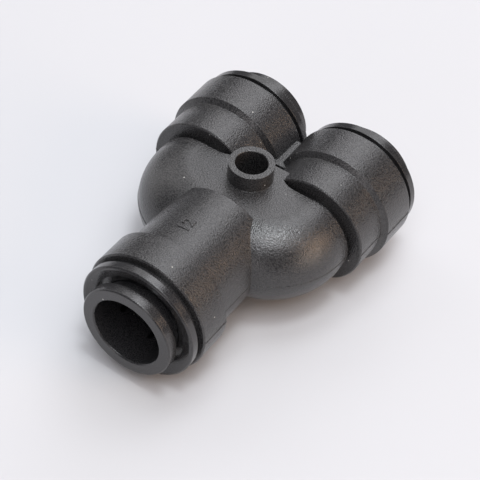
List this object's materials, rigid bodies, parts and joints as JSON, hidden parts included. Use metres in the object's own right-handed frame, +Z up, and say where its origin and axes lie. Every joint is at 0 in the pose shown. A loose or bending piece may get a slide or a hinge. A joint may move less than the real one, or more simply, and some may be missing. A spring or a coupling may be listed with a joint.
{
  "type": "tubing y connector",
  "caption": "Push-fit Y connector that splits one tube into two parallel outlets, with sliding release collets, O-ring seals and a fixing hole.",
  "frame": {"origin": "where the axis of the fixing hole crosses the plane of the three port axes", "axes": "+Z up the fixing hole, the inlet opens towards -Y and the two outlets towards +Y"},
  "size_m": [0.0434, 0.056, 0.022],
  "materials": {
    "body_moulding": "fine spark-eroded texture",
    "end_cap": "satin",
    "collet": "satin",
    "seal": "smooth, lightly greased",
    "grip_tooth": "stamped stainless strip"
  },
  "bodies": {
    "connector": {"body": "body_moulding", "inlet_end_cap": "end_cap", "left_outlet_end_cap": "end_cap", "right_outlet_end_cap": "end_cap", "inlet_o_ring": "seal", "left_outlet_o_ring": "seal", "right_outlet_o_ring": "seal"},
    "inlet_release": {"inlet_collet": "collet", "inlet_grip_tooth_1": "grip_tooth", "inlet_grip_tooth_2": "grip_tooth", "inlet_grip_tooth_3": "grip_tooth", "inlet_grip_tooth_4": "grip_tooth", "inlet_grip_tooth_5": "grip_tooth", "inlet_grip_tooth_6": "grip_tooth"},
    "left_outlet_release": {"left_outlet_collet": "collet", "left_outlet_grip_tooth_1": "grip_tooth", "left_outlet_grip_tooth_2": "grip_tooth", "left_outlet_grip_tooth_3": "grip_tooth", "left_outlet_grip_tooth_4": "grip_tooth", "left_outlet_grip_tooth_5": "grip_tooth", "left_outlet_grip_tooth_6": "grip_tooth"},
    "right_outlet_release": {"right_outlet_collet": "collet", "right_outlet_grip_tooth_1": "grip_tooth", "right_outlet_grip_tooth_2": "grip_tooth", "right_outlet_grip_tooth_3": "grip_tooth", "right_outlet_grip_tooth_4": "grip_tooth", "right_outlet_grip_tooth_5": "grip_tooth", "right_outlet_grip_tooth_6": "grip_tooth"}
  },
  "joints": [
    {"name": "inlet_collet_slide", "type": "slide", "parent": "connector", "child": "inlet_release", "axis": [0, 1, 0], "range_m": [-0.0004, 0.00215]},
    {"name": "left_outlet_collet_slide", "type": "slide", "parent": "connector", "child": "left_outlet_release", "axis": [0, -1, 0], "range_m": [-0.00005, 0.0025]},
    {"name": "right_outlet_collet_slide", "type": "slide", "parent": "connector", "child": "right_outlet_release", "axis": [0, -1, 0], "range_m": [-0.00075, 0.0018]}
  ]
}
